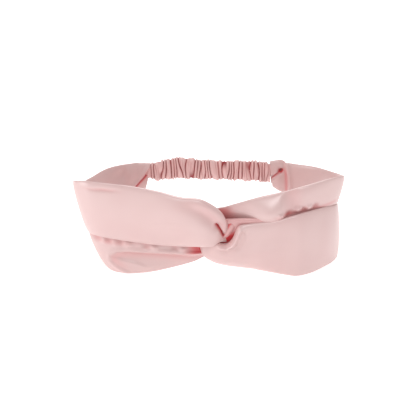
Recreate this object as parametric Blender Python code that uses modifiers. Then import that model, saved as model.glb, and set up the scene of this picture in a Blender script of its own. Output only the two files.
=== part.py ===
"""Knotted satin headband, standing on its lower edge with its front towards -Y.

Two flat satin tubes are folded into loops that hook through each other at the front. The
two legs of each loop overlap, turn back at the side, and are pleated and sewn round one
end of a gathered casing that holds the elastic tape. +Z is up, and the origin is on the
surface that the headband stands on, under the middle of the ring.
"""
import math

import bmesh
import bpy
import numpy as np

MM = 0.001

# The ring: where its parts are measured from, in millimetres.
RING_MIDDLE = np.array((1.34, 39.35, 0.0))
FLOOR = 0.0

# Each wing, as pairs of points on its outer face: lower edge, then upper edge.
# They run from the knot, round the side, to the end of the elastic casing.
LEFT_WING = (
    ((-13, 4, 9), (-14, -4, 68)),
    ((-28, 5, 3), (-29, -2, 71)),
    ((-45, 6, -1.6), (-47, 3, 75)),
    ((-61, 5.5, -2.6), (-69, 9.5, 77)),
    ((-74, 9, -2.6), (-89, 14, 78)),
    ((-80, 18, -2.6), (-100, 23, 77)),
    ((-82, 33, -2.6), (-98, 38, 72)),
    ((-79, 50, -1), (-89, 57, 66)),
    ((-71, 65, 12), (-77, 71, 62)),
    ((-60, 81, 26), (-61, 83.5, 61)),
    ((-47, 85, 38.5), (-47, 86, 61.5)),
)
RIGHT_WING = (
    ((23, 5, 6), (24, -3, 67)),
    ((36, 4, 2), (38, -1, 71)),
    ((51, 2.5, -1.2), (53, 1, 75)),
    ((66, 1, -2.6), (69, 5, 78)),
    ((81, 6.5, -2.6), (87, 12, 79)),
    ((95, 18, -2.6), (99, 22, 78)),
    ((101, 33, -2.6), (102, 37, 73)),
    ((98, 51, -1), (97, 57, 66)),
    ((86, 67, 12), (85, 72, 62)),
    ((63, 81.5, 26), (64, 83.5, 61)),
    ((49, 85, 38.5), (49, 86, 61.5)),
)

# Which share of the wing's height each leg covers, from the knot to the casing.
UPPER_LEG_FROM = (0.46, 0.42, 0.39, 0.37, 0.36, 0.34, 0.3, 0.25, 0.18, 0.08, 0.0)
LOWER_LEG_TO = (0.56, 0.6, 0.63, 0.64, 0.64, 0.66, 0.7, 0.76, 0.84, 0.92, 1.0)

BAND_THICKNESS = 5.0
BAND_END_THICKNESS = 3.0
LEG_GAP = 1.4
END_GAP = 6.0

# The knot: two bights that hook through each other like chain links.
KNOT_CENTRE = np.array((5.0, 8.5, 36.5))
KNOT_SQUASH = np.array((1.0, 0.68, 1.12))
BIGHT_RADIUS = 19.0
BIGHT_HALF_WIDTH = 11.5
BIGHT_HALF_THICKNESS = 5.5
BIGHT_CLEARANCE = 2.0
BIGHT_STEPS = 6

# The gathered casing and the elastic tape in it.
CASING_HALF_LENGTH = 50.0
CASING_MIDDLE = np.array((1.0, 79.4, 50.0))
CASING_BOW = 2.2
CASING_HEIGHT = 19.6
CASING_THICKNESS = 4.2
CASING_WALL = 0.5
TAPE_WIDTH = 15.0
TAPE_THICKNESS = 1.2
TAPE_HALF_LENGTH = 56.0

# Sewing thread.
THREAD_RADIUS = 0.22
THREAD_LIFT = 0.6
STITCH_LENGTH = 2.6
ROW_SPREAD = 1.6
END_ROW_SHARE = 1.3
TACK_SHARE = 0.8
CASING_SEAM_SHARE = 0.92
SEAM_FIRST_STATION = 2
END_ROW_STATION = 1

# How finely the surfaces are divided.
STEPS_BETWEEN_STATIONS = 3
SECTION_POINTS = 16
CASING_STEPS = 16

# Colours (linear red, green, blue) and finish of the materials.
SATIN_PINK = (0.86, 0.62, 0.60)
TAPE_WHITE = (0.82, 0.78, 0.76)
THREAD_PINK = (0.80, 0.55, 0.53)
SATIN_ROUGHNESS = 0.38
KNIT_ROUGHNESS = 0.8
THREAD_ROUGHNESS = 0.5


def clear_scene():
    """Remove whatever the file holds."""
    for old in list(bpy.data.objects):
        bpy.data.objects.remove(old, do_unlink=True)


def make_material(name, colour, roughness):
    """A plain Principled material, not metallic."""
    material = bpy.data.materials.new(name)
    material.use_nodes = True
    shader = material.node_tree.nodes["Principled BSDF"]
    shader.inputs["Base Color"].default_value = (*colour, 1.0)
    shader.inputs["Roughness"].default_value = roughness
    shader.inputs["Metallic"].default_value = 0.0
    return material


def place(points):
    """Turn millimetres from the ring's own zero into metres from the origin."""
    return (np.asarray(points, dtype=float) - RING_MIDDLE) * MM


def unit(vectors):
    """Each row at length one."""
    return vectors / np.linalg.norm(vectors, axis=-1, keepdims=True)


def curve_through(keys, steps):
    """Catmull-Rom curve through the rows of keys, with equal steps between two rows."""
    keys = np.asarray(keys, dtype=float)
    first = 2.0 * keys[:1] - keys[1:2]
    last = 2.0 * keys[-1:] - keys[-2:-1]
    k = np.vstack((first, keys, last))
    t = np.linspace(0.0, 1.0, steps, endpoint=False)[:, None]
    pieces = []
    for a, b, c, d in zip(k[:-3], k[1:-2], k[2:-1], k[3:]):
        rise = (c - a) * t + (2 * a - 5 * b + 4 * c - d) * t**2 + (3 * b - a - 3 * c + d) * t**3
        pieces.append(b + 0.5 * rise)
    pieces.append(keys[-1:])
    return np.vstack(pieces)


def leg_stations(wing, start, stop, layer, side):
    """Centre, half-width and half-thickness vectors along one leg of a loop.

    The leg covers the shares start to stop of the wing's height, and layer is 0 for the
    outer leg and 1 for the inner one. side is -1 on the left wing and +1 on the right.
    """
    lower = np.array([pair[0] for pair in wing], dtype=float)
    upper = np.array([pair[1] for pair in wing], dtype=float)
    up = upper - lower
    start = np.asarray(start)[:, None]
    stop = np.asarray(stop)[:, None]
    low = lower + up * start
    high = lower + up * stop
    along = np.gradient((low + high) / 2.0, axis=0)
    outward = unit(np.cross(along, up)) * side
    share = np.linspace(0.0, 1.0, len(wing))[:, None] ** 3
    thickness = BAND_THICKNESS + (BAND_END_THICKNESS - BAND_THICKNESS) * share
    gap = LEG_GAP + (END_GAP - LEG_GAP) * share
    depth = thickness * 0.5 + layer * (thickness + gap)
    centre = (low + high) / 2.0 - outward * depth
    return centre, (high - low) / 2.0, outward * thickness * 0.5


def bight_stations(side):
    """The bend of one loop round the other, from its outer leg to its inner leg."""
    slope = math.sqrt(0.5)
    plane = np.array((0.0, -slope, side * -slope))
    across = np.array((0.0, -slope * side, slope))
    reach = BIGHT_RADIUS - BIGHT_HALF_THICKNESS - BIGHT_CLEARANCE / 2.0
    middle = np.array((side * reach, 0.0, 0.0))
    turn = np.linspace(90.0, -90.0, BIGHT_STEPS + 1)
    radial = np.array([(-side * math.cos(a), 0.0, 0.0) + plane * math.sin(a) for a in np.radians(turn)])
    centre = KNOT_CENTRE + (middle + radial * BIGHT_RADIUS) * KNOT_SQUASH
    wide = np.tile(across * BIGHT_HALF_WIDTH * KNOT_SQUASH, (len(turn), 1))
    deep = radial * BIGHT_HALF_THICKNESS * KNOT_SQUASH
    return centre, wide, deep


def band_stations(wing, side):
    """Stations of a whole band: outer leg towards the knot, bight, inner leg away from it."""
    whole_top = np.ones(len(wing))
    whole_bottom = np.zeros(len(wing))
    upper = (UPPER_LEG_FROM, whole_top)
    lower = (whole_bottom, LOWER_LEG_TO)
    outer_share, inner_share = (upper, lower) if side < 0 else (lower, upper)
    outer = leg_stations(wing, *outer_share, 0, side)
    inner = leg_stations(wing, *inner_share, 1, side)
    bight = bight_stations(side)
    centre = np.vstack((outer[0][::-1], bight[0], inner[0]))
    wide = np.vstack((outer[1][::-1], bight[1], inner[1]))
    deep = np.vstack((outer[2][::-1], bight[2], -inner[2]))
    whole = curve_through(np.hstack((centre, wide, deep)), STEPS_BETWEEN_STATIONS)
    return whole[:, 0:3], whole[:, 3:6], whole[:, 6:9]


def new_object(name, data, material, collection):
    """Add an object with one material."""
    data.materials.append(material)
    made = bpy.data.objects.new(name, data)
    collection.objects.link(made)
    return made


def add_band(name, stations, material, collection):
    """Loft an oval section through the stations and close both ends.

    Where a section would reach below the floor it is pressed flat on it.
    """
    centre, wide, deep = stations
    angle = np.linspace(0.0, 2.0 * math.pi, SECTION_POINTS, endpoint=False)[None, :, None]
    rings = centre[:, None] + wide[:, None] * np.cos(angle) + deep[:, None] * np.sin(angle)
    rings[..., 2] = np.maximum(rings[..., 2], FLOOR)
    mesh = bpy.data.meshes.new(name)
    form = bmesh.new()
    rows = [[form.verts.new(point) for point in ring] for ring in place(rings)]
    for row, following in zip(rows[:-1], rows[1:]):
        for i in range(SECTION_POINTS):
            j = (i + 1) % SECTION_POINTS
            form.faces.new((row[i], row[j], following[j], following[i]))
    form.faces.new(rows[0])
    form.faces.new(rows[-1])
    bmesh.ops.recalc_face_normals(form, faces=form.faces)
    form.to_mesh(mesh)
    form.free()
    mesh.shade_smooth()
    return new_object(name, mesh, material, collection)


def casing_line(x):
    """The middle of the casing at a distance x from its centre, bowed away from the front."""
    x = np.asarray(x, dtype=float)
    bow = CASING_BOW * (1.0 - (x / CASING_HALF_LENGTH) ** 2)
    return CASING_MIDDLE + np.stack((x, bow, np.zeros_like(x)), axis=-1)


def add_shell(name, points, closed, thickness, offset, material, collection):
    """A wall of even thickness on a grid of points, closed round its second direction or not."""
    mesh = bpy.data.meshes.new(name)
    form = bmesh.new()
    rows = [[form.verts.new(point) for point in row] for row in place(points)]
    count = len(rows[0])
    for row, following in zip(rows[:-1], rows[1:]):
        for i in range(count if closed else count - 1):
            j = (i + 1) % count
            form.faces.new((row[i], following[i], following[j], row[j]))
    form.to_mesh(mesh)
    form.free()
    mesh.shade_smooth()
    made = new_object(name, mesh, material, collection)
    wall = made.modifiers.new("wall", "SOLIDIFY")
    wall.thickness = thickness * MM
    wall.offset = offset
    wall.use_even_offset = True
    return made


def add_casing(material, collection):
    """The gathered satin tube: an open-ended oval sleeve."""
    x = np.linspace(-CASING_HALF_LENGTH, CASING_HALF_LENGTH, CASING_STEPS + 1)
    angle = np.linspace(0.0, 2.0 * math.pi, SECTION_POINTS, endpoint=False)
    high = CASING_HEIGHT / 2.0 * np.cos(angle)
    deep = CASING_THICKNESS / 2.0 * np.sin(angle)
    oval = np.stack((np.zeros_like(angle), deep, high), axis=-1)
    points = casing_line(x)[:, None] + oval[None]
    return add_shell("elastic_casing", points, True, CASING_WALL, -1.0, material, collection)


def add_tape(material, collection):
    """The flat elastic tape, which runs through the casing and out between the legs."""
    x = np.linspace(-TAPE_HALF_LENGTH, TAPE_HALF_LENGTH, CASING_STEPS + 1)
    rise = np.array((-0.5, 0.5)) * TAPE_WIDTH
    strip = np.stack((np.zeros(2), np.zeros(2), rise), axis=-1)
    points = casing_line(x)[:, None] + strip[None]
    return add_shell("elastic_tape", points, False, TAPE_THICKNESS, 0.0, material, collection)


def add_thread(name, points, material, collection):
    """A sewing thread along the points, with closed ends."""
    data = bpy.data.curves.new(name, "CURVE")
    data.dimensions = "3D"
    data.bevel_depth = THREAD_RADIUS * MM
    data.bevel_resolution = 2
    data.use_fill_caps = True
    line = data.splines.new("POLY")
    line.points.add(len(points) - 1)
    for target, point in zip(line.points, place(points)):
        target.co = (*point, 1.0)
    return new_object(name, data, material, collection)


def add_band_seam(name, stations, material, collection):
    """The tube's closing seam on its hidden face, along the outer leg as far as the knot."""
    centre, _, deep = stations
    points = centre - deep - unit(deep) * THREAD_LIFT
    knot_end = STEPS_BETWEEN_STATIONS * (len(LEFT_WING) - 1)
    return add_thread(name, points[SEAM_FIRST_STATION:knot_end], material, collection)


def zigzag(middle, climb, spread, length):
    """Points of a zigzag row: it climbs by length and swings by spread to each side."""
    count = int(length / STITCH_LENGTH * 2.0)
    share = np.linspace(-0.5, 0.5, count)[:, None]
    swing = np.where(np.arange(count) % 2 == 0, 1.0, -1.0)[:, None]
    return middle + climb * share * length + spread * swing * ROW_SPREAD / 2.0


def add_end_stitching(name, stations, material, collection):
    """The zigzag row that holds the pleats and the casing, on the outer leg's outer face."""
    centre, wide, deep = (rows[END_ROW_STATION] for rows in stations)
    following = stations[0][END_ROW_STATION + 1]
    height = np.linalg.norm(wide) * END_ROW_SHARE
    middle = centre + deep + unit(deep) * THREAD_LIFT
    points = zigzag(middle, unit(wide), unit(following - centre), height)
    share = (points - middle) @ unit(wide) / np.linalg.norm(wide)
    sink = 1.0 - np.sqrt(1.0 - share**2)
    return add_thread(name, points - deep * sink[:, None], material, collection)


def add_elastic_tack(name, side, material, collection):
    """The zigzag tack that holds the tape's end between the legs, beyond the casing."""
    x = side * (CASING_HALF_LENGTH + (TAPE_HALF_LENGTH - CASING_HALF_LENGTH) / 2.0)
    out = np.array((0.0, TAPE_THICKNESS / 2.0 + THREAD_LIFT, 0.0))
    middle = casing_line(x) + out
    upward = np.array((0.0, 0.0, 1.0))
    sideways = np.array((1.0, 0.0, 0.0))
    points = zigzag(middle, upward, sideways, TAPE_WIDTH * TACK_SHARE)
    return add_thread(name, points, material, collection)


def add_casing_seam(material, collection):
    """The casing's closing seam, along the middle of the face towards the head."""
    reach = CASING_SEAM_SHARE * CASING_HALF_LENGTH
    x = np.linspace(-reach, reach, CASING_STEPS + 1)
    inward = np.array((0.0, -CASING_THICKNESS / 2.0 - THREAD_LIFT, 0.0))
    return add_thread("casing_seam", casing_line(x) + inward, material, collection)


def main():
    """Build every piece of the headband."""
    clear_scene()
    collection = bpy.data.collections.new("knotted_headband")
    bpy.context.scene.collection.children.link(collection)
    satin_left = make_material("left_band_satin", SATIN_PINK, SATIN_ROUGHNESS)
    satin_right = make_material("right_band_satin", SATIN_PINK, SATIN_ROUGHNESS)
    satin_casing = make_material("casing_satin", SATIN_PINK, SATIN_ROUGHNESS)
    knit = make_material("elastic_knit", TAPE_WHITE, KNIT_ROUGHNESS)

    for side_name, wing, side, satin in (
        ("left", LEFT_WING, -1, satin_left),
        ("right", RIGHT_WING, 1, satin_right),
    ):
        thread = make_material(side_name + "_thread", THREAD_PINK, THREAD_ROUGHNESS)
        stations = band_stations(wing, side)
        add_band(side_name + "_band", stations, satin, collection)
        add_band_seam(side_name + "_band_seam", stations, thread, collection)
        add_end_stitching(side_name + "_end_stitching", stations, thread, collection)
        add_elastic_tack(side_name + "_elastic_tack", side, thread, collection)

    add_casing(satin_casing, collection)
    add_tape(knit, collection)
    add_casing_seam(make_material("casing_thread", THREAD_PINK, THREAD_ROUGHNESS), collection)


main()
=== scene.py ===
"""The looks of a knotted satin headband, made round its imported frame."""
import math

import bpy
import numpy as np
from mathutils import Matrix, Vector


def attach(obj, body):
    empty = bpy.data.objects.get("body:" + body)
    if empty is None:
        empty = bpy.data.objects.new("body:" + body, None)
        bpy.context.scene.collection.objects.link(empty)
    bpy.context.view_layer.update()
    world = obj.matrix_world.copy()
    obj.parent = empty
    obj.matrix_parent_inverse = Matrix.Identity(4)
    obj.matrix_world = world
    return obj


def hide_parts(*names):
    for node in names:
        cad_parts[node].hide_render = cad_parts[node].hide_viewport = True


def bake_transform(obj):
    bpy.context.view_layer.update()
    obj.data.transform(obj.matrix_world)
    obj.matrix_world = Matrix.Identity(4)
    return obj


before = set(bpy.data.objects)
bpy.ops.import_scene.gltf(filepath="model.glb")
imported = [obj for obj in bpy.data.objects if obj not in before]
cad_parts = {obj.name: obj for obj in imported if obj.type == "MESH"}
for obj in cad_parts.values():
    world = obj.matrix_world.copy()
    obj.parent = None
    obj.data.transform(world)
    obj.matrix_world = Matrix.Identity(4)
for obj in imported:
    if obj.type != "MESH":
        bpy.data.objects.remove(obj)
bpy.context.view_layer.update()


# ---------------------------------------------------------------------------
# Left band. A strip of polyester satin, sewn into a soft flat tube and turned right side
# out. It is folded into a loop: the outer leg lies in front and high, the inner leg behind
# and low, and the bend hooks through the right band's loop.

# Shapes are laid out in millimetres round the knot; the ring's middle becomes the origin.
MM = 0.001
RING_MIDDLE = np.array((1.34, 39.35, 0.0))
SATIN_WALL = 0.35
# Rings of points between two keys of a band, points in a ring, and how round its edges are.
BAND_STEPS = 10
BAND_AROUND = 144
BAND_EDGE_POWER = 0.8


def curve_through(keys, steps):
    """Catmull-Rom curve through the rows of keys, with equal steps between two rows."""
    keys = np.asarray(keys, dtype=float)
    k = np.vstack((2.0 * keys[:1] - keys[1:2], keys, 2.0 * keys[-1:] - keys[-2:-1]))
    t = np.linspace(0.0, 1.0, steps, endpoint=False)[:, None]
    pieces = []
    for a, b, c, d in zip(k[:-3], k[1:-2], k[2:-1], k[3:]):
        rise = (c - a) * t + (2 * a - 5 * b + 4 * c - d) * t**2 + (3 * b - a - 3 * c + d) * t**3
        pieces.append(b + 0.5 * rise)
    pieces.append(keys[-1:])
    return np.vstack(pieces)


def unit(vectors):
    """Each vector at length one."""
    return vectors / np.maximum(np.linalg.norm(vectors, axis=-1, keepdims=True), 1e-12)


def leg(keys, side, inner):
    """Centre, half-width, half-thickness and belly vectors along one leg of a loop.

    A key holds the lower edge, the upper edge, the thickness and how far the middle of the
    leg stands out from the line between its edges. side is -1 on the left, +1 on the right.
    """
    keys = np.array(keys, dtype=float)
    low, high = keys[:, 0:3], keys[:, 3:6]
    along = np.gradient((low + high) / 2.0, axis=0)
    outward = unit(np.cross(along, high - low)) * side
    facing = -1.0 if inner else 1.0
    return np.hstack((
        (low + high) / 2.0,
        (high - low) / 2.0,
        outward * facing * keys[:, 6:7] / 2.0,
        outward * keys[:, 7:8],
    ))


def tube_points(stations, around, edge_power):
    """Rings of points round the stations.

    At angle a a ring is centre + wide * cos(a) + deep * s + belly * sin(a)^2, where s is
    sin(a) with its size raised to edge_power, so the faces are full and the edges round.
    """
    centre, wide, deep, belly = (stations[:, None, i:i + 3] for i in (0, 3, 6, 9))
    a = np.linspace(0.0, 2.0 * math.pi, around, endpoint=False)[None, :, None]
    s = np.sign(np.sin(a)) * np.abs(np.sin(a)) ** edge_power
    return centre + wide * np.cos(a) + deep * s + belly * np.sin(a) ** 2


def ease(value, start, stop):
    """0 before start, 1 after stop, and a smooth step between them."""
    t = np.clip((value - start) / (stop - start), 0.0, 1.0)
    return t * t * (3.0 - 2.0 * t)


def fade(value, start, stop):
    """1 before start, 0 after stop, and a smooth step between them."""
    return 1.0 - ease(value, start, stop)


def hump(value, middle, half):
    """A bell of height 1 at middle, falling to 0 at half away from it."""
    t = np.clip(np.abs(value - middle) / half, 0.0, 1.0)
    return (1.0 - t * t) ** 2


def ridge(value, middle, width):
    """A Gaussian of height 1 at middle, which falls to 1/e at width away from it."""
    return np.exp(-((value - middle) / width) ** 2)


def beside(points, line):
    """Distance in the front plane from points to a line through (x, z) places.

    Gives the signed distance, positive on the left of the line's own direction, and the
    share of the line's length at which each point lies.
    """
    line = np.array(line, dtype=float)
    flat = points[..., (0, 2)]
    best = np.full(flat.shape[:-1], np.inf)
    signed = np.zeros_like(best)
    share = np.zeros_like(best)
    runs = np.linalg.norm(np.diff(line, axis=0), axis=1)
    starts = np.concatenate(([0.0], np.cumsum(runs)))
    for a, b, run, start in zip(line[:-1], line[1:], runs, starts):
        t = np.clip(((flat - a) @ (b - a)) / run**2, 0.0, 1.0)
        gap = flat - (a + t[..., None] * (b - a))
        away = np.linalg.norm(gap, axis=-1)
        left = (b - a)[0] * gap[..., 1] - (b - a)[1] * gap[..., 0]
        nearer = away < best
        best = np.where(nearer, away, best)
        signed = np.where(nearer, np.where(left >= 0, away, -away), signed)
        share = np.where(nearer, (start + t * run) / starts[-1], share)
    return signed, share


def surface_normals(rings):
    """Outward unit normals of a tube given as rings of points."""
    along = np.gradient(rings, axis=0)
    around = np.roll(rings, -1, axis=1) - np.roll(rings, 1, axis=1)
    normal = unit(np.cross(around, along))
    out = rings - rings.mean(axis=1, keepdims=True)
    return normal * np.sign((normal * out).sum())


def tube_mesh(name, parts):
    """One mesh from tubes of cloth with an outer skin, an inner skin and rims at open ends.

    Each part is (rings, shade): points in millimetres, rings first and then round the tube,
    and the painted shade of each point, how deep in a fold it lies, which mixes dark red into
    the satin's colour. The inner skin is the outer one moved a wall's thickness along its
    normals. UV is the distance in metres along and round the tube.
    """
    points, faces, uvs, fold_shades = [], [], [], []
    first = 0
    for rings, fold_shade in parts:
        count, around = rings.shape[:2]
        inner = rings - surface_normals(rings) * SATIN_WALL
        points.append(np.concatenate((rings.reshape(-1, 3), inner.reshape(-1, 3))))
        fold_shades.append(np.tile(fold_shade.reshape(-1), 2))
        i, j = np.meshgrid(np.arange(count - 1), np.arange(around), indexing="ij")
        k = (j + 1) % around
        here, ahead = i * around, (i + 1) * around
        quad = np.stack((here + j, here + k, ahead + k, ahead + j), -1).reshape(-1, 4)
        out = rings - rings.mean(axis=1, keepdims=True)
        a, b, c = (rings.reshape(-1, 3)[quad[:, n]] for n in (0, 1, 2))
        turned = (np.cross(b - a, c - a) * out[:-1].reshape(-1, 3)).sum() < 0.0
        shell = count * around
        j = np.arange(around)
        k = (j + 1) % around
        top = (count - 1) * around
        start_rim = np.stack((j, j + shell, k + shell, k), -1)
        end_rim = np.stack((top + j, top + k, top + k + shell, top + j + shell), -1)
        whole = np.concatenate((quad, quad[:, ::-1] + shell, start_rim, end_rim))
        step = np.linalg.norm(np.diff(rings.mean(axis=1), axis=0), axis=1)
        far = np.concatenate(([0.0], np.cumsum(step)))
        reach = np.linalg.norm(np.roll(rings, -1, axis=1) - rings, axis=2).sum(axis=1).mean()
        u = np.tile(np.repeat(far, around), 2)
        v = np.tile(np.arange(around) / around * reach, 2 * count)
        corner_u = u[whole]
        corner_v = v[whole]
        wraps = corner_v.max(axis=1, keepdims=True) - corner_v > reach / 2.0
        corner_v = np.where(wraps, corner_v + reach, corner_v)
        uv = np.stack((corner_u, corner_v), -1)
        if turned:
            whole = whole[:, ::-1]
            uv = uv[:, ::-1]
        faces.append(whole + first)
        uvs.append(uv)
        first += 2 * shell
    points = (np.concatenate(points) - RING_MIDDLE) * MM
    points[:, 2] = np.maximum(points[:, 2], 0.0)
    mesh = bpy.data.meshes.new(name)
    mesh.from_pydata(points.tolist(), [], np.concatenate(faces).tolist())
    layer = mesh.uv_layers.new(name="cloth")
    layer.data.foreach_set("uv", (np.concatenate(uvs) * MM).astype(np.float32).ravel())
    # Painted shade: how much of the satin's dark red fold colour each point takes, kept as a mesh
    # attribute.
    fold = mesh.attributes.new("fold_shade", "FLOAT", "POINT")
    fold.data.foreach_set("value", np.clip(np.concatenate(fold_shades), 0.0, 2.0).astype(np.float32))
    mesh.shade_smooth()
    made = bpy.data.objects.new(name, mesh)
    bpy.context.scene.collection.objects.link(made)
    return made


def colour(code):
    """A linear colour from an sRGB hex code."""
    parts = np.array([int(code[i:i + 2], 16) for i in (1, 3, 5)]) / 255.0
    linear = np.where(parts <= 0.04045, parts / 12.92, ((parts + 0.055) / 1.055) ** 2.4)
    return (*linear.tolist(), 1.0)


def add_node(tree, kind, inputs=None, **settings):
    """Add a node with its settings; inputs maps a socket to a value or to a node's output."""
    node = tree.nodes.new(kind)
    for key, value in settings.items():
        setattr(node, key, value)
    for key, value in (inputs or {}).items():
        if isinstance(value, bpy.types.NodeSocket):
            tree.links.new(value, node.inputs[key])
        else:
            node.inputs[key].default_value = value
    return node


def polyester_satin(name, light, shade, fold):
    """Charmeuse satin: long floats give a broad soft sheen that drops off quickly, and fine warp
    threads break the highlight up along the tube. Shade is painted into the colour: a mesh
    attribute mixes the pink towards red, standing in for light that passes from fold to fold."""
    material = bpy.data.materials.new(name)
    material.use_nodes = True
    tree = material.node_tree
    shader = tree.nodes["Principled BSDF"]
    uv = add_node(tree, "ShaderNodeUVMap", uv_map="cloth")
    place = add_node(tree, "ShaderNodeTexCoord")
    # Warp threads are 0.09 mm apart, too fine to show; they are drawn 0.45 mm apart.
    warp = add_node(tree, "ShaderNodeMapping",
                    {"Vector": uv.outputs[0], "Scale": (90.0, 2200.0, 1.0)})
    threads = add_node(tree, "ShaderNodeTexNoise",
                       {"Vector": warp.outputs[0], "Scale": 1.0, "Detail": 2.0, "Roughness": 0.5})
    # Slow changes of tone, about 35 mm across, as the cloth takes up light unevenly.
    cloud = add_node(tree, "ShaderNodeTexNoise",
                     {"Vector": place.outputs["Object"], "Scale": 28.0, "Detail": 2.0,
                      "Roughness": 0.5})
    tone = add_node(tree, "ShaderNodeMix",
                    {0: cloud.outputs[0], 6: colour(light), 7: colour(shade)}, data_type="RGBA")
    # Painted shade: the mesh attribute mixes the tone towards the dark red fold colour.
    fold_shade = add_node(tree, "ShaderNodeAttribute", attribute_name="fold_shade")
    deep = add_node(tree, "ShaderNodeMix",
                    {0: fold_shade.outputs["Fac"], 6: tone.outputs[2], 7: colour(fold)},
                    data_type="RGBA")
    # Painted shade: past a value of one the fold is taken as shut, hardly any light comes out of
    # it, and the colour goes on towards near black.
    past = add_node(tree, "ShaderNodeMath", {0: fold_shade.outputs["Fac"], 1: 1.0},
                    operation="SUBTRACT")
    shut = add_node(tree, "ShaderNodeMix",
                    {0: past.outputs[0], 6: deep.outputs[2], 7: colour("#3A0C0E")},
                    data_type="RGBA")
    bump = add_node(tree, "ShaderNodeBump",
                    {"Height": threads.outputs[0], "Strength": 0.12, "Distance": 0.0002})
    rough = add_node(tree, "ShaderNodeMapRange",
                     {"Value": threads.outputs[0], "To Min": 0.28, "To Max": 0.38})
    tree.links.new(shut.outputs[2], shader.inputs["Base Color"])
    tree.links.new(rough.outputs[0], shader.inputs["Roughness"])
    tree.links.new(bump.outputs[0], shader.inputs["Normal"])
    shader.inputs["Specular IOR Level"].default_value = 1.0
    shader.inputs["Sheen Weight"].default_value = 0.5
    shader.inputs["Sheen Roughness"].default_value = 0.35
    shader.inputs["Sheen Tint"].default_value = colour("#FFE9E4")
    return material


# Lower edge, upper edge, thickness, belly, from the knot to the casing.
LEFT_OUTER = (
    (8, 1, 31, 14.2, 0, 47, 7, 0),
    (3.5, -1, 28.5, 10.2, -2, 56.5, 9, 0),
    (-3, -1, 28, 4, -2.5, 63, 11, 1),
    (-12, 0, 27.5, -7, -2, 69, 11, 1.5),
    (-24, 1, 27.2, -21, -1, 70, 11, 1.5),
    (-39, 2, 27.5, -38, 2.5, 73.3, 9, 1.5),
    (-55, 4, 28.5, -57, 7, 75, 8, 1.5),
    (-70, 6, 29.8, -76, 11, 75.2, 7, 1.5),
    (-83.3, 9, 31, -91.5, 15, 74.8, 6, 1),
    (-90.8, 16, 30, -101.4, 23, 71.2, 5, 0),
    (-92, 30, 28, -99.5, 34, 65, 5, 0),
    (-86, 50, 27, -91.5, 52, 56.5, 5, 0),
    (-75, 67, 29, -79, 70, 55, 4, 0),
    (-61, 81, 31, -62, 81, 54.0, 2.5, 1),
    (-54, 82.6, 33, -54, 82.6, 54.2, 2, 1.3),
    (-51.5, 83, 34, -46.5, 83, 54.0, 1.6, 1.3),
)
LEFT_INNER = (
    (9, 13, 16, 7, 15, 40, 6, 0),
    (-4, 11, 11.4, -6, 12.5, 43, 6, 0),
    (-12, 9, 8.2, -14, 11, 46, 6, 0),
    (-28, 7.8, 3.8, -30, 10.5, 50, 6, 0),
    (-44, 6.5, 0.6, -47, 12, 52, 6, 0.5),
    (-60, 5, 0, -66, 15, 52, 6, 0.5),
    (-72, 7.5, 0, -82, 18.5, 52, 5, 2),
    (-78.5, 15, 0, -92.5, 26, 54, 4, 4),
    (-81, 30, 0, -95, 36, 62, 4, 3),
    (-78, 46, 2, -90, 50, 60, 4, 0),
    (-68, 60, 12, -78.5, 66, 59, 4, 0),
    (-58, 72, 26, -61, 77, 57.3, 3.5, -1),
    (-54, 76.5, 29, -53, 79, 56.4, 3, -1.5),
    (-51.5, 78, 31, -46.5, 79.5, 55.8, 2.4, -1.5),
)


# The bend of a loop: its distance from the middle of the knot, and where its section's middle,
# half-width and half-thickness lie.
KNOT_X = 5.0
BIGHT_REACH = 9.5
BIGHT_Y, BIGHT_Z = 9.0, 36.5
BIGHT_LEAN, BIGHT_RISE = 6.0, 8.5
BIGHT_HALF_THICK = 4.5


def bight(side):
    """The bend of a loop behind the other band's front leg, as a row of key stations."""
    centre = (KNOT_X - side * BIGHT_REACH, BIGHT_Y, BIGHT_Z)
    wide = (0.0, -side * BIGHT_LEAN, BIGHT_RISE)
    deep = (-side * BIGHT_HALF_THICK, 0.0, 0.0)
    return np.concatenate((centre, wide, deep, np.zeros(3)))[None]


def band_rings(outer, inner, side):
    """The whole band: outer leg towards the knot, bight, and inner leg back to the casing."""
    keys = np.vstack((leg(outer, side, False)[::-1], bight(side), leg(inner, side, True)))
    return tube_points(curve_through(keys, BAND_STEPS), BAND_AROUND, BAND_EDGE_POWER)


# How far back the inner leg's rear part begins, and where it has its full weight. The front
# part ends between the other two depths.
REAR_FROM, REAR_FULL = 55.0, 66.0
FRONT_FULL, FRONT_TO = 20.0, 30.0


def faces_of(rings, outer):
    """Masks of the outer leg's front face, the inner leg's, and the inner leg's rear part.

    The first two fall off smoothly round the leg's edges, the last one along the ring.
    """
    row = np.arange(rings.shape[0])[:, None]
    turn = np.sin(np.linspace(0.0, 2.0 * math.pi, rings.shape[1], endpoint=False))[None, :]
    bend = len(outer) * BAND_STEPS
    first = fade(row, bend - 4, bend + 4) * ease(turn, -0.1, 0.25)
    inner_leg = ease(row, bend + 4, bend + 12)
    rear = ease(rings[..., 1], REAR_FROM, REAR_FULL) * inner_leg
    return first, inner_leg * fade(turn, -0.35, 0.0), rear


# The outer leg's near face at the casing, where it starts to run forward and how fast, and
# the least gap between the two skins of the inner leg in front of it.
BACKING_Y, BACKING_X, BACKING_SLOPE = 81.6, 54.0, 0.23
SKIN_GAP = 0.8


def hold_inside(rings, inner, rear):
    """Keep the inner leg's rear folds in front of the outer leg that lies behind them."""
    run = np.maximum(np.abs(rings[..., 0]) - BACKING_X, 0.0)
    face = BACKING_Y - BACKING_SLOPE * run - SKIN_GAP * inner
    rings[..., 1] = np.where(rear > 0.0, np.minimum(rings[..., 1], face), rings[..., 1])
    return rings


def bulges(rows, x, z):
    """Sum of soft swellings, each a product of a bell along x and a bell along z.

    A row holds the height, the middle and half-length along x, and the same along z.
    """
    return sum(height * hump(x, x_at, x_half) * hump(z, z_at, z_half)
               for height, x_at, x_half, z_at, z_half in rows)


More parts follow.
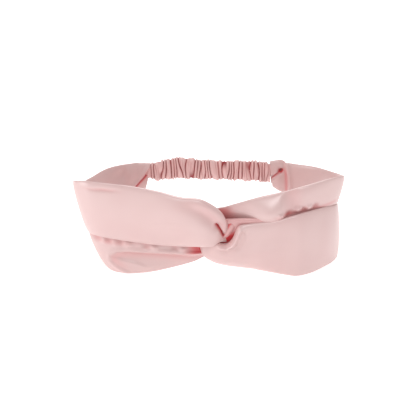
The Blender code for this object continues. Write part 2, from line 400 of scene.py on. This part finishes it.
# Where the folds lie, as (x, z) places along each one.
SLIT_LINE = ((3.6, 52.0), (5.2, 49.2), (8.5, 43.8), (11.4, 36.8))
TROUGH_LINE = ((5.2, 49.2), (1.5, 54.5), (-4.0, 59.0), (-14.0, 64.0), (-30.0, 67.0))
EDGE_ROLL_LINE = ((-98.0, 69.5), (-80.0, 71.0), (-62.0, 71.6))
SCOOP_LIP_LINE = (
    (-3.0, 14.6), (-22.0, 16.4), (-43.4, 18.1), (-62.0, 19.4), (-70.5, 18.6),
    (-75.5, 15.0), (-75.0, 10.5), (-70.0, 6.5), (-62.0, 2.5), (-56.0, -2.0),
)
LEFT_FLAP_LINE = ((-64.0, 30.0), (-59.6, 38.5), (-53.0, 44.5), (-48.0, 51.0), (-45.0, 55.0))
# Height, then middle and half-length along x, and the same along z.
LEFT_OUTER_BULGES = (
    (1.6, -8.0, 20.0, 42.0, 17.0),
    (1.2, -58.0, 46.0, 54.0, 26.0),
    (-0.9, -30.0, 26.0, 38.0, 13.0),
)
LEFT_REAR_BULGES = ((-2.0, -69.0, 7.0, 50.0, 8.0), (1.0, -62.0, 6.0, 51.0, 9.0))
LEFT_PUCKERS = ((-79.0, 26.5), (-70.5, 26.0), (-61.9, 25.4), (-41.7, 23.0), (-20.1, 21.6))


def left_features(rings):
    """Folds of the left band, as moves towards the front, and the painted shade in them.

    The bulge by the knot is parted from the rolled upper edge by a short deep slit, which runs
    on up the leg as a trough. The inner leg is pulled into a long scoop below the outer leg,
    with a sharp upper lip, and puckers along it. At the casing it folds over into a flap.
    Shade is painted dark red into the slit and the roll beside it, the trough, the rolled
    upper edge, the scoop, beside each pucker, under the outer leg's lower edge, in the corner
    by the right band, and along the fold beside the flap.
    """
    outer, inner, rear = faces_of(rings, LEFT_OUTER)
    x, z = rings[..., 0], rings[..., 2]
    near = inner * fade(rings[..., 1], FRONT_FULL, FRONT_TO)

    slit, share = beside(rings, SLIT_LINE)
    open_end = ease(share, 0.05, 0.3)
    groove = ridge(slit, 0.0, 0.8) * open_end
    move = -outer * (3.4 * groove + 1.2 * ridge(slit, 0.0, 3.0) * open_end)
    # Painted shade: dark red down the slit, strongest at its lower end, and a little on the roll
    # beside it.
    apex = 1.15 + 0.6 * ease(share, 0.6, 0.9)
    fold_shade = outer * (apex * groove + 0.12 * ease(slit, 1.0, 3.0) * hump(share, 0.6, 0.8))

    trough, share = beside(rings, TROUGH_LINE)
    move -= outer * 2.3 * ridge(trough, 0.0, 4.2) * fade(share, 0.1, 1.0)
    # Painted shade: a little dark red along the trough.
    fold_shade += outer * 0.10 * ridge(trough, -0.5, 4.0) * fade(share, 0.2, 1.0)
    move += outer * bulges(LEFT_OUTER_BULGES, x, z)
    roll, share = beside(rings, EDGE_ROLL_LINE)
    move -= outer * 0.9 * ridge(roll, 0.0, 1.3) * hump(share, 0.5, 0.5)
    # Painted shade along the rolled upper edge.
    fold_shade += outer * 0.2 * ridge(roll, 0.0, 1.1) * hump(share, 0.5, 0.5)

    lip, share = beside(rings, SCOOP_LIP_LINE)
    scoop = ease(lip, -1.2, 3.0) * fade(lip, 3.5, 15.0)
    strength = (0.35 + 0.65 * ease(share, 0.0, 0.35)) * fade(share, 0.45, 0.85)
    move += near * (1.3 * ridge(lip, -1.4, 1.5) - 2.6 * scoop * strength)
    # Painted shade in the scoop, strongest just under its lip.
    fold_shade += near * 0.26 * scoop * fade(lip, 1.5, 9.0) * fade(share, 0.75, 0.98)

    for at, up in LEFT_PUCKERS:
        bump = hump(x, at, 5.0) * hump(z, up, 3.6)
        beneath = hump(x, at - 5.5, 4.5) * hump(z, up + 0.8, 3.8)
        move += near * (2.0 * bump - 1.1 * beneath)
        # Painted shade in the hollow to the left of each pucker.
        fold_shade += near * 0.20 * beneath
    # Painted shade under the outer leg's lower edge, and a painted shadow in the corner beside the
    # right band.
    tuck = ridge(z, 28.0 - 0.02 * (x + 90.0), 3.0) * fade(x, -20.0, -6.0)
    shadow = ease(z, 15.2, 18.0) * ease(x, -22.0, -8.0)
    fold_shade += near * (0.14 * tuck + shadow)

    flap, share = beside(rings, LEFT_FLAP_LINE)
    behind = fade(flap, -0.9, 0.2) * (1.0 - 0.4 * fade(flap, -9.0, -1.5))
    move += rear * (0.9 * ridge(flap, 1.3, 1.4) - 2.9 * behind)
    # Painted shade along the fold beside the flap.
    fold_shade += rear * 1.5 * ridge(flap, -1.2, 1.4) * fade(share, 0.6, 1.0)
    move += rear * bulges(LEFT_REAR_BULGES, x, z)

    moved = rings.copy()
    moved[..., 1] -= move
    return hold_inside(moved, inner, rear), fold_shade


left_rings, left_fold_shade = left_features(band_rings(LEFT_OUTER, LEFT_INNER, -1))

left_band = tube_mesh("left_satin_band", [(left_rings, left_fold_shade)])
# The band's satin: two pale pinks that change at random, and the dark red of the painted shade in
# the folds.
band_satin = polyester_satin("polyester satin, blush", "#D7BAB7", "#D0ABA9", "#C83238")
left_band.data.materials.append(band_satin)
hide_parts("left_band")


# ---------------------------------------------------------------------------
# Threads of the left band. The tube is closed with a running stitch of spun polyester along
# the outer leg's hidden face. A zigzag holds its end to the casing, and the end of the elastic
# is tacked with another zigzag inside.

THREAD_RADIUS = 0.28
STITCH = 2.4
STITCH_PITCH = 3.3
# A stitch's middle stands this far out of the cloth, and its ends lie this much lower.
STITCH_RISE, STITCH_DROP = 0.30, 0.55
# The zigzag steps between two rows of points near the band's end, over its outer face.
ZIGZAG_LIFT = 0.2
ZIGZAG_ROWS = (5, 9)
ZIGZAG_COLUMNS = np.arange(10, 62, 2)
# The closing seam runs from this row to a set distance from the middle of the front.
SEAM_FIRST_ROW = 8
LEFT_SEAM_STOP = 24.0


def thread_mesh(name, runs, faces_out):
    """Round threads along runs of points, with their ends closed.

    A hexagon of the thread's radius is carried along each run, square to its direction. Runs
    and the surface's normals are arrays of runs, then points, in millimetres.
    """
    direction = unit(np.gradient(runs, axis=1))
    across = unit(np.cross(direction, faces_out))
    rise = np.cross(across, direction)
    sides = 6
    a = np.linspace(0.0, 2.0 * math.pi, sides, endpoint=False)[:, None]
    ring = np.cos(a) * across[:, :, None, :] + np.sin(a) * rise[:, :, None, :]
    points = (runs[:, :, None, :] + THREAD_RADIUS * ring - RING_MIDDLE) * MM
    count, length = runs.shape[:2]
    r, i, j = np.meshgrid(np.arange(count), np.arange(length - 1), np.arange(sides), indexing="ij")
    base = (r * length + i) * sides
    k = (j + 1) % sides
    walls = np.stack((base + j, base + sides + j, base + sides + k, base + k), -1).reshape(-1, 4)
    first = np.arange(count)[:, None] * length * sides
    starts = first + np.arange(sides)[None, :]
    ends = first + (length - 1) * sides + np.arange(sides)[None, ::-1]
    mesh = bpy.data.meshes.new(name)
    mesh.from_pydata(points.reshape(-1, 3).tolist(), [],
                     walls[:, ::-1].tolist() + starts[:, ::-1].tolist() + ends[:, ::-1].tolist())
    mesh.shade_smooth()
    made = bpy.data.objects.new(name, mesh)
    bpy.context.scene.collection.objects.link(made)
    return made


def running_stitch(line, normals):
    """Separate stitches along a line: each a shallow arch whose ends dip into the cloth."""
    gone = np.concatenate(([0.0], np.cumsum(np.linalg.norm(np.diff(line, axis=0), axis=1))))
    middles = np.arange(STITCH, gone[-1] - STITCH, STITCH_PITCH)[:, None]
    t = np.linspace(-1.0, 1.0, 7)[None, :]
    at = middles + t * STITCH / 2.0
    runs, out = (np.stack([np.interp(at, gone, source[:, n]) for n in range(3)], -1)
                 for source in (line, normals))
    height = STITCH_RISE - STITCH_DROP * t**2
    return runs + unit(out) * height[..., None], unit(out)


def end_zigzag(rings):
    """One run that steps to and fro between two rows of a band's end, over its outer face."""
    turns = np.where(np.arange(ZIGZAG_COLUMNS.size) % 2 == 0, *ZIGZAG_ROWS)
    normals = surface_normals(rings)[turns, ZIGZAG_COLUMNS]
    return (rings[turns, ZIGZAG_COLUMNS] + normals * ZIGZAG_LIFT)[None], normals[None]


def spun_polyester(name, code):
    """Sewing thread of spun polyester: matt, with a twist of three plies that catches a little
    light, in the colour of the cloth."""
    material = bpy.data.materials.new(name)
    material.use_nodes = True
    tree = material.node_tree
    shader = tree.nodes["Principled BSDF"]
    place = add_node(tree, "ShaderNodeTexCoord")
    # Painted shade: in every 2.4 mm along a thread, one turn of the plies keeps the thread's
    # colour and one is darkened, as the twist lies in shade between plies; the bump follows the
    # same turns.
    plies = add_node(tree, "ShaderNodeTexWave",
                     {"Vector": place.outputs["Object"], "Scale": 260.0, "Distortion": 1.5},
                     bands_direction="DIAGONAL")
    tone = add_node(tree, "ShaderNodeMapRange", {"Value": plies.outputs["Fac"], "To Min": 0.82})
    base = add_node(tree, "ShaderNodeMix", {0: 1.0, 6: colour(code), 7: tone.outputs[0]},
                    data_type="RGBA", blend_type="MULTIPLY")
    bump = add_node(tree, "ShaderNodeBump",
                    {"Height": plies.outputs["Fac"], "Strength": 0.4, "Distance": 0.0001})
    tree.links.new(base.outputs[2], shader.inputs["Base Color"])
    tree.links.new(bump.outputs[0], shader.inputs["Normal"])
    shader.inputs["Roughness"].default_value = 0.7
    return material


def seam_line(rings, outer, stop):
    """Points and normals down the middle of the outer leg's hidden face, short of the knot."""
    column = BAND_AROUND * 3 // 4
    rows = np.arange(SEAM_FIRST_ROW, BAND_STEPS * (len(outer) - 1))
    rows = rows[np.abs(rings[rows, column, 0]) > stop]
    return rings[rows, column], surface_normals(rings)[rows, column]


thread = spun_polyester("spun polyester thread, blush", "#E3B2AC")
left_line = seam_line(left_rings, LEFT_OUTER, LEFT_SEAM_STOP)
left_seam = thread_mesh("left_seam_stitches", *running_stitch(*left_line))
left_zigzag = thread_mesh("left_end_zigzag", *end_zigzag(left_rings))
for piece, node in ((left_seam, "left_band_seam"), (left_zigzag, "left_end_stitching")):
    piece.data.materials.append(thread)
    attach(piece, "left_half")
    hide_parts(node)


# ---------------------------------------------------------------------------
# Right band. The same tube on the right, with its outer leg low in front and its inner leg
# high behind. Its front edge curls like a collar over the left band's bend.

RIGHT_OUTER = (
    (-5, 7, 17, 0, 4, 32, 6, 0),
    (3, 5, 11.3, 6, -1, 31.2, 7, 0),
    (11, 4.3, 9, 12.3, -3.5, 31.0, 7, 1),
    (18, 3.5, 8, 17.2, -4.8, 36.3, 7, 1.5),
    (25.5, 3.2, 6.8, 20.2, -4.8, 44.4, 7, 1.5),
    (29.5, 3.1, 6.2, 22.8, -4.6, 48.0, 7, 1.5),
    (34, 3.0, 5.6, 29.5, -3.8, 48.9, 7, 1.5),
    (39, 2.6, 4.6, 38, -2, 49.2, 8, 1.5),
    (47.3, 2, 3.2, 47.5, -0.5, 49.5, 8, 1),
    (58, 1.3, 1.2, 59, 2, 51.5, 7, 1),
    (67, 1.5, 0, 69, 5, 53, 7, 1.5),
    (77.5, 5.5, 0, 79, 10, 53.3, 6, 1.5),
    (87.5, 13.5, 0, 89, 17.5, 51.8, 6, 1.5),
    (96, 22, 0, 96.5, 25, 49, 5, 0),
    (100, 32, 0, 97.5, 36, 46.5, 5, 0),
    (97, 48, 2, 94, 52, 46, 5, 0),
    (87, 65, 14, 84, 68, 50, 5, 0),
    (68, 80, 27, 66, 81, 53, 2.5, 1),
    (55, 82.8, 34, 55, 82.8, 54, 2, 1.3),
    (50, 83, 36, 48.5, 83, 54, 1.6, 1.3),
)
RIGHT_INNER = (
    (4, 15, 38, 2.5, 9, 53, 6, 0),
    (14, 11, 38, 12, 7, 57.3, 7, 0),
    (24, 8.5, 38, 21, 6, 60.8, 8, 0),
    (36, 8, 38, 37, 7.0, 65.6, 8, 2),
    (48, 8, 39, 48, 8.0, 68.0, 8, 2.8),
    (58, 9, 40, 59, 9.2, 70.2, 7, 1.5),
    (76, 15.5, 41, 77, 13.5, 73.6, 6, 0.5),
    (88, 21.5, 41, 91, 20, 74.5, 5, 0.5),
    (95, 30, 41, 101, 27.5, 72.8, 4, 0),
    (95, 42, 39, 101, 37, 68.4, 4, 0),
    (90, 56, 35, 95, 51, 63.6, 4, 0),
    (78, 68, 32, 83, 66, 59.8, 4, 0),
    (67, 74.5, 28, 67, 76.5, 57, 3.5, -1),
    (57, 77, 31, 56, 79, 58.2, 3, -1.5),
    (51, 78, 35, 48.5, 79.5, 57, 2.4, -1.5),
)

# Where the folds lie, as (x, z) places along each one.
COLLAR_RIM_LINE = (
    (4.0, 31.0), (8.8, 30.6), (12.6, 31.0), (16.3, 34.2), (18.4, 39.2), (20.2, 44.2),
    (22.8, 48.0), (29.5, 48.9),
)
LOWER_ROLL_LINE = ((12.0, 14.0), (40.0, 24.0), (70.0, 35.0))
RIGHT_FLAP_LINE = ((59.5, 60.0), (61.0, 55.0), (62.7, 46.2), (63.5, 31.0), (63.5, 26.0))
NOTCH_LINE = ((58.5, 51.0), (56.5, 49.0), (48.0, 41.5))
REAR_ROLL_LINE = ((58.0, 50.0), (60.0, 42.0), (61.8, 31.0))
PIT_X, PIT_Z, PIT_SPREAD = 57.3, 50.0, 3.0
# Height, then middle and half-length along x, and the same along z.
RIGHT_INNER_BULGES = ((-2.2, 61.0, 9.0, 60.0, 18.0), (0.7, 78.0, 12.0, 64.0, 12.0))
RIGHT_PUCKERS = ((54.0, 53.2), (66.5, 55.4), (75.0, 55.8))


def right_features(rings):
    """Folds of the right band, as moves towards the front, and the painted shade in them.

    The collar has a narrow crest on its rim. The inner leg sinks into the knot at its root,
    swells beside it and puckers along the outer leg. At the casing it folds over into a flap,
    with a notch and a small pit beside it. Shade is painted dark red inside the collar's rim,
    at the inner leg's root and in a dip beside its swelling, along its lower edge, beside each
    pucker, along the fold beside the flap, in the notch and in the pit.
    """
    outer, inner, rear = faces_of(rings, RIGHT_OUTER)
    x, z = rings[..., 0], rings[..., 2]
    front = fade(rings[..., 1], FRONT_FULL, FRONT_TO)
    near = inner * front

    rim, share = beside(rings, COLLAR_RIM_LINE)
    along = outer * ease(share, 0.0, 0.2) * fade(share, 0.75, 1.0)
    move = along * (2.4 * ridge(rim, -2.3, 1.5) - 1.5 * ridge(rim, -6.2, 2.4))
    # Painted shade inside the collar's rim.
    fold_shade = along * 0.5 * ease(rim, -0.8, 1.0)

    roll, share = beside(rings, LOWER_ROLL_LINE)
    raised = ridge(roll, 0.0, 6.0) * hump(share, 0.5, 0.6)
    sunken = 0.8 * ridge(roll, 12.0, 5.0) * hump(share, 0.4, 0.5)
    corner = 0.8 * hump(x, 90.0, 9.0) * hump(z, 28.0, 22.0)
    move += outer * front * (raised - sunken + corner)

    root = fade(x, 10.0, 40.0)
    deep = fade(x, 9.0, 20.0 + 0.6 * (60.0 - z)) * fade(z, 54.0, 62.0)
    swollen = 3.5 * hump(x, 45.0, 21.0) * hump(z - 0.12 * (x - 43.0), 54.0, 15.0)
    move += near * (swollen - 1.2 * root + bulges(RIGHT_INNER_BULGES, x, z))
    # Painted shade at the inner leg's root, reaching furthest low down by the knot, and a little
    # in the dip beside its swelling.
    fold_shade += near * (0.12 * root + 0.50 * deep + 0.10 * hump(x, 62.0, 10.0))
    # Painted shade in a thin line along the inner leg's lower edge, where it meets the outer leg.
    low_edge = 52.6 + 0.03 * (x - 60.0)
    fold_shade += near * 0.30 * ridge(z, low_edge, 1.6) * ease(x, 44.0, 60.0)

    for at, up in RIGHT_PUCKERS:
        bump = hump(x, at, 4.0) * hump(z, up, 3.2)
        beneath = hump(x, at + 5.0, 4.0) * hump(z, up - 0.5, 4.0)
        move += near * (1.8 * bump - 1.0 * beneath)
        # Painted shade in the hollow to the right of each pucker.
        fold_shade += near * 0.26 * beneath

    flap, share = beside(rings, RIGHT_FLAP_LINE)
    behind = fade(flap, -0.9, 0.2) * (1.0 - 0.5 * fade(flap, -9.0, -1.0))
    move += rear * (1.2 * ridge(flap, 1.2, 1.5) - 2.4 * behind)
    # Painted shade along the fold beside the flap.
    fold_shade += rear * 0.6 * ridge(flap, -1.2, 1.2) * ease(share, 0.1, 0.4)
    notch, _ = beside(rings, NOTCH_LINE)
    cut = ridge(notch, 0.0, 0.9) * fade(x, 57.0, 60.0)
    pit = np.exp(-((x - PIT_X) ** 2 + (z - PIT_Z) ** 2) / PIT_SPREAD)
    rear_roll, _ = beside(rings, REAR_ROLL_LINE)
    move += rear * 0.9 * ridge(rear_roll, 2.2, 1.6) * fade(x, 57.0, 61.0)
    move -= rear * (2.0 * cut + 2.5 * pit)
    # Painted shade in the notch and the pit.
    fold_shade += rear * (0.8 * cut + 1.6 * pit)

    moved = rings.copy()
    moved[..., 1] -= move
    return hold_inside(moved, inner, rear), fold_shade


EDGE_STEPS, EDGE_AROUND, EDGE_POWER = 12, 64, 0.9
# Painted shade: the least on an edge roll, and how much more its upper part takes.
LEAST_SHADE, HIGH_SHADE_STRENGTH = 0.28, 0.6


def edge_strip(keys, low_shade, high_shade):
    """A narrow roll of the tube's turned edge, from edge pairs as a leg has them.

    Going from the lower edge to the upper one, shade is painted dark red on the roll where it
    lies deep in the fold: up to low_shade of the way, and again past high_shade. A limit that
    lies outside 0 to 1 leaves its shade out. Near the collar's upper end light gets in, and
    the lower painted shade is weaker. No part of the roll has less than the least shade.
    """
    rings = tube_points(curve_through(leg(keys, 1, False), EDGE_STEPS), EDGE_AROUND, EDGE_POWER)
    way = 0.5 + 0.5 * np.cos(np.linspace(0.0, 2.0 * math.pi, EDGE_AROUND, endpoint=False))
    lit = ease(rings[..., 2], 36.0, 45.0) * fade(rings[..., 0], 20.0, 26.0)
    low = fade(way, low_shade - 0.12, low_shade + 0.05) * (1.0 - 0.75 * lit)
    high = HIGH_SHADE_STRENGTH * ease(way, high_shade - 0.1, high_shade)
    return rings, np.maximum(low, LEAST_SHADE) + high


# The back layer's edge, which shows as a slim lens above the collar and lines its inside.
COLLAR_BACK = (
    (5, 3.5, 28, 5, 2, 49.5, 4, 0),
    (12, 3, 28, 12, 0.5, 50.8, 5, 0),
    (18, 2.5, 30, 18, -0.5, 51.7, 5, 0),
    (24, 2, 33, 24, -0.8, 52.2, 5, 0),
    (30, 1.5, 37, 30, -1, 52.3, 5, 0),
    (36, 1.5, 41, 36, -0.5, 51.9, 4, 0),
    (42, 1, 44, 42, 0, 51.0, 3, 0),
    (50, 1, 47, 50, 0.5, 49.8, 1.5, 0),
)

# The collar's inner fold, between the left band's bend and the shadow in the collar.
COLLAR_FOLD = (
    (23.5, 0.5, 45.6, 20.5, 1.5, 49.6, 2.5, 0),
    (19.8, -0.6, 43.8, 15.2, 0, 48.8, 4, 0),
    (16.8, -1.4, 40.5, 12.6, -0.8, 44.2, 4, 0),
    (14.4, -1.2, 37.0, 11.2, -0.5, 39.6, 4, 0),
    (11.8, -0.2, 35.0, 10.0, 0.5, 37.0, 3.0, 0),
    (9.0, 2.5, 34.2, 8.0, 3, 35.6, 2.0, 0),
)

right_rings, right_fold_shade = right_features(band_rings(RIGHT_OUTER, RIGHT_INNER, 1))
right_band = tube_mesh("right_satin_band", [
    (right_rings, right_fold_shade),
    # Painted shade: the back layer's roll is dark red low down, inside the collar and along the
    # lens's lower edge; the inner fold's roll is dark red along its upper side.
    edge_strip(COLLAR_BACK, low_shade=0.78, high_shade=9.0),
    edge_strip(COLLAR_FOLD, low_shade=-1.0, high_shade=0.76),
])
right_band.data.materials.append(band_satin)
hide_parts("right_band")


# ---------------------------------------------------------------------------
# Threads of the right band, sewn as on the left: a running stitch along the outer leg's
# hidden face, and a zigzag at the casing. The seam stops further from the knot's middle.

RIGHT_SEAM_STOP = 34.0
right_line = seam_line(right_rings, RIGHT_OUTER, RIGHT_SEAM_STOP)
right_seam = thread_mesh("right_seam_stitches", *running_stitch(*right_line))
right_zigzag = thread_mesh("right_end_zigzag", *end_zigzag(right_rings))
for piece, node in ((right_seam, "right_band_seam"), (right_zigzag, "right_end_stitching")):
    piece.data.materials.append(thread)
    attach(piece, "right_half")
    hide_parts(node)


# ---------------------------------------------------------------------------
# Elastic casing. A tube of the same satin, about 1.4 times as long as the elastic that is
# pulled through it, so that it gathers into close upright ruffles.

# Along the back: x, lower edge and upper edge.
CASING_EDGES = (
    (-49.0, 41.5, 55.6),
    (-39.0, 40.0, 57.4),
    (-31.5, 40.6, 59.6),
    (-25.5, 41.2, 60.4),
    (-19.0, 40.8, 59.8),
    (-8.0, 40.1, 58.3),
    (10.5, 39.8, 57.2),
    (40.5, 39.0, 57.6),
    (49.0, 37.5, 56.2),
)

CASING_END = 49.0
CASING_STATIONS, CASING_AROUND = 640, 120
CASING_PITCH = 3.5
CASING_LIFT = 2.6
# The valleys lie this far inside the edges above.
CASING_INSET = 1.3
# The middle line of the casing and the tape, which bows back a little between the bands.
BACK_Y = 79.4
BOW, BOW_END = 2.2, 50.0


def back_line(x):
    """The casing's middle line from front to back: a shallow parabola between its ends."""
    return BACK_Y + BOW * (1.0 - np.minimum(np.abs(x) / BOW_END, 1.0) ** 2)


def casing_rings():
    """Oval rings whose size swings between ruffle and valley along the tube, and the painted shade
    in the valleys.

    A ruffle's height is |sin| of a bent x, raised to a power below one so that valleys are
    narrow; the bend leans, forks and crowds the ruffles as one goes up the tube. A finer
    set of pleats, 2.3 to a ruffle, comes and goes on top.
    """
    x = np.linspace(-CASING_END, CASING_END, CASING_STATIONS)[:, None]
    a = np.linspace(0.0, 2.0 * math.pi, CASING_AROUND, endpoint=False)[None, :]
    up = np.cos(a)
    at = [row[0] for row in CASING_EDGES]
    lower, upper = (np.interp(x, at, [row[k] for row in CASING_EDGES]) for k in (1, 2))
    lean = 0.9 * up * np.sin(x * 0.21 + 0.6)
    fork = 0.8 * np.sin(up * 2.2 + x * 0.43) * np.sin(x * 0.17 + 2.0)
    crowd = 1.5 * np.sin(x * 0.27 + 1.3) + 0.9 * np.sin(x * 0.71 + 0.4)
    wave = np.abs(np.sin(math.pi * (x + lean + fork + crowd) / CASING_PITCH))
    fine_x = x * 2.3 + 1.7 * up + 2.0 * np.sin(x * 0.5)
    fine = np.abs(np.sin(math.pi * fine_x / CASING_PITCH))
    mix = 0.5 + 0.5 * np.sin(x * 0.9 + up * 2.4 + 1.0)
    swell = 0.72 + 0.28 * np.sin(x * 0.53 + 1.9 * up)
    ruffle = wave ** 0.55 * swell - 0.28 * mix * (1.0 - fine) ** 2
    ends = 0.25 + 0.75 * ease(CASING_END - np.abs(x), 0.0, 5.0)
    lift = CASING_LIFT * ruffle * ends
    half = (upper - lower) / 2.0 - CASING_INSET
    edge = 0.35 * np.sin(x * 1.9) * np.sin(x * 0.37)
    high = (half + 0.75 * lift + edge) * up
    deep = (1.0 + lift) * np.sign(np.sin(a)) * np.abs(np.sin(a)) ** 0.8
    rings = np.stack((x + 0 * a, back_line(x) + deep, (lower + upper) / 2.0 + high), -1)
    # Painted shade: dark red in the valleys between ruffles and between the fine pleats, weaker at
    # the ends.
    fold_shade = np.clip(1.25 * (1.0 - wave) ** 2.5 + 0.5 * mix * (1.0 - fine) ** 4, 0.0, 1.0) * ends
    return rings, fold_shade + 0 * a


casing_points, casing_fold_shade = casing_rings()
casing = tube_mesh("gathered_casing", [(casing_points, casing_fold_shade)])
# The casing's satin: two pale pinks that change at random, and a darker red for the painted shade
# in its valleys.
casing_satin = polyester_satin("polyester satin, gathered", "#EAC8C4", "#DEB1AE", "#9A2024")
casing.data.materials.append(casing_satin)
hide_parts("elastic_casing")


# ---------------------------------------------------------------------------
# Elastic tape, and the thread round it. A strip of knitted elastic, 10 mm wide, runs through
# the casing and is tacked between the legs of each band. A running stitch closes the casing on
# the side of the head.

def knitted_elastic(name, code):
    """Knitted elastic: covered rubber cords lie side by side along the tape, so it has fine
    lengthwise ribs and a matt face."""
    material = bpy.data.materials.new(name)
    material.use_nodes = True
    tree = material.node_tree
    shader = tree.nodes["Principled BSDF"]
    place = add_node(tree, "ShaderNodeTexCoord")
    # One rib every 0.8 mm up the tape.
    ribs = add_node(tree, "ShaderNodeTexWave", {"Vector": place.outputs["Object"], "Scale": 400.0},
                    bands_direction="Z")
    loops = add_node(tree, "ShaderNodeTexNoise",
                     {"Vector": place.outputs["Object"], "Scale": 1500.0})
    tone = add_node(tree, "ShaderNodeMix",
                    {0: loops.outputs[0], 6: colour(code), 7: colour("#D9A8A3")},
                    data_type="RGBA")
    bump = add_node(tree, "ShaderNodeBump",
                    {"Height": ribs.outputs["Fac"], "Strength": 0.6, "Distance": 0.0002})
    tree.links.new(tone.outputs[2], shader.inputs["Base Color"])
    tree.links.new(bump.outputs[0], shader.inputs["Normal"])
    shader.inputs["Roughness"].default_value = 0.8
    return material


TAPE_END = 55.0
TAPE_STATIONS, TAPE_AROUND = 90, 32
TAPE_Z = 49.0
TAPE_HALF_WIDTH = 5.0
TAPE_HALF_THICK = 0.7


def tape_rings():
    """Flat oval rings along the casing's middle line."""
    x = np.linspace(-TAPE_END, TAPE_END, TAPE_STATIONS)[:, None]
    a = np.linspace(0.0, 2.0 * math.pi, TAPE_AROUND, endpoint=False)[None, :]
    wide = TAPE_HALF_WIDTH * np.cos(a)
    thin = TAPE_HALF_THICK * np.sign(np.sin(a)) * np.abs(np.sin(a)) ** 0.5
    return np.stack((x + 0 * a, back_line(x) + thin, TAPE_Z + wide + 0 * x), -1)


tape_points = tape_rings()
tape = tube_mesh("elastic_strip", [(tape_points, np.zeros(tape_points.shape[:2]))])
tape.data.materials.append(knitted_elastic("knitted elastic, blush", "#E9C4BF"))
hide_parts("elastic_tape")

# The seam lies in the casing's valleys, on the side that faces the head.
SEAM_END, SEAM_Z, SEAM_DEPTH = 45.0, 49.4, 1.25
SEAM_POINTS = 160
seam_x = np.linspace(-SEAM_END, SEAM_END, SEAM_POINTS)
seam_z = np.full(SEAM_POINTS, SEAM_Z)
casing_line = np.stack((seam_x, back_line(seam_x) - SEAM_DEPTH, seam_z), -1)
to_head = np.tile((0.0, -1.0, 0.0), (SEAM_POINTS, 1))
casing_stitches = thread_mesh("casing_seam_stitches", *running_stitch(casing_line, to_head))
casing_stitches.data.materials.append(thread)
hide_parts("casing_seam")

# The bands, the casing, the tape and the casing's stitches have their placing baked into their
# points.
for piece in (left_band, right_band):
    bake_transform(piece)
for piece in (casing, tape, casing_stitches):
    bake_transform(piece)

# The tacks keep their modelled shape, in the same thread.
for node in ("left_elastic_tack", "right_elastic_tack"):
    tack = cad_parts[node]
    tack.data.materials.clear()
    tack.data.materials.append(thread)


# ---------------------------------------------------------------------------
# Studio: a pale floor that glows a little, four soft lamps and the camera. One lamp stands low
# on the left, one high in front, a weak one in front on the left, and one high behind.

# Name, place and size in metres, and power in watts.
LAMPS = (
    ("key", (-1.05, -0.35, 0.30), 0.5, 3.0),
    ("fill", (0.10, -0.75, 1.00), 0.4, 3.5),
    ("side", (-0.60, -1.00, 0.36), 0.5, 0.7),
    ("back", (0.15, 0.90, 1.00), 0.7, 8.0),
)
LAMP_AIM = (0.0, 0.0, 0.03)
CAMERA_AIM = Vector((-0.0021, -0.0030, 0.0396))
CAMERA_TILT = math.radians(30.0)


def place_aimed(name, data, where, aim):
    """Add a lamp or a camera that stands at one place and looks at another."""
    made = bpy.data.objects.new(name, data)
    made.location = where
    made.rotation_euler = (Vector(aim) - Vector(where)).to_track_quat("-Z", "Y").to_euler()
    bpy.context.scene.collection.objects.link(made)
    return made


floor_mesh = bpy.data.meshes.new("floor")
floor_mesh.from_pydata([(-3, -3, 0), (3, -3, 0), (3, 3, 0), (-3, 3, 0)], [], [(0, 1, 2, 3)])
floor = bpy.data.objects.new("floor", floor_mesh)
bpy.context.scene.collection.objects.link(floor)
# Smooth white paper; what glow it has stands in for light from all round the room.
paper = bpy.data.materials.new("paper backdrop")
paper.use_nodes = True
paper_shader = paper.node_tree.nodes["Principled BSDF"]
paper_shader.inputs["Base Color"].default_value = colour("#FAFAFA")
paper_shader.inputs["Roughness"].default_value = 0.9
paper_shader.inputs["Emission Color"].default_value = colour("#FFFFFF")
paper_shader.inputs["Emission Strength"].default_value = 0.42
floor_mesh.materials.append(paper)

for lamp_name, where, size, power in LAMPS:
    lamp = bpy.data.lights.new(lamp_name, "AREA")
    lamp.energy = power
    lamp.size = size
    place_aimed(lamp_name, lamp, where, LAMP_AIM)

world = bpy.data.worlds.new("studio")
world.use_nodes = True
world.node_tree.nodes["Background"].inputs[0].default_value = (1, 1, 1, 1)
world.node_tree.nodes["Background"].inputs[1].default_value = 0.57
bpy.context.scene.world = world
bpy.context.scene.view_settings.view_transform = "Standard"

lens = bpy.data.cameras.new("camera")
lens.lens = 112.0
lens.sensor_width = 36.0
back_off = Vector((0.0, -math.cos(CAMERA_TILT), math.sin(CAMERA_TILT)))
bpy.context.scene.camera = place_aimed("camera", lens, CAMERA_AIM + back_off, CAMERA_AIM)
